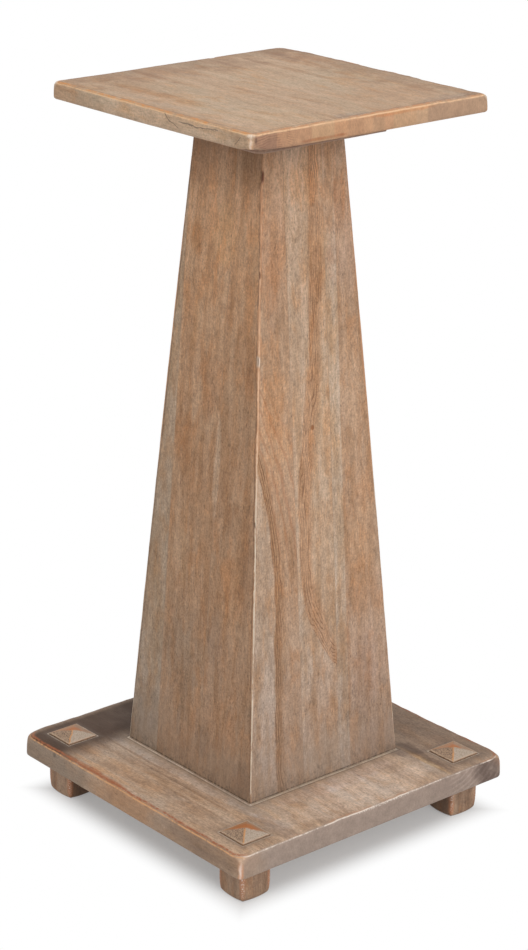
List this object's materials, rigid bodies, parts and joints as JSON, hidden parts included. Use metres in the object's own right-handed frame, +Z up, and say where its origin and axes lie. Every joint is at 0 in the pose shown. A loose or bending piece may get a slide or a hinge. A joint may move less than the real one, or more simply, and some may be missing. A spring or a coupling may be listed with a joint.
{
  "type": "wooden pedestal stand",
  "caption": "Square-topped wooden pedestal with a hollow tapered square column on a square base, whose corner posts form pyramid studs above and block feet below.",
  "frame": {"origin": "middle of the footprint, on the floor under the four feet", "axes": "+Z up; X along the grain of the top and base boards, +X to the right, -Y to the front"},
  "size_m": [0.36, 0.36, 0.765],
  "materials": {
    "top_wood": "weathered greyish-tan wash, edges worn to tan wood, satin",
    "plate_wood": "dark brown, matt",
    "column_wood": "weathered greyish-brown wash over glued staves, arrises worn, satin",
    "base_wood": "weathered greyish-brown wash, edges worn to reddish wood, satin",
    "post_wood": "weathered greyish-brown wash, stud tips worn to reddish wood, satin"
  },
  "bodies": {
    "root": {"top_board": "top_wood", "mount_plate": "plate_wood", "panel_front": "column_wood", "panel_right": "column_wood", "panel_back": "column_wood", "panel_left": "column_wood", "base_board": "base_wood", "post_front_left": "post_wood", "post_front_right": "post_wood", "post_back_right": "post_wood", "post_back_left": "post_wood"}
  },
  "joints": []
}
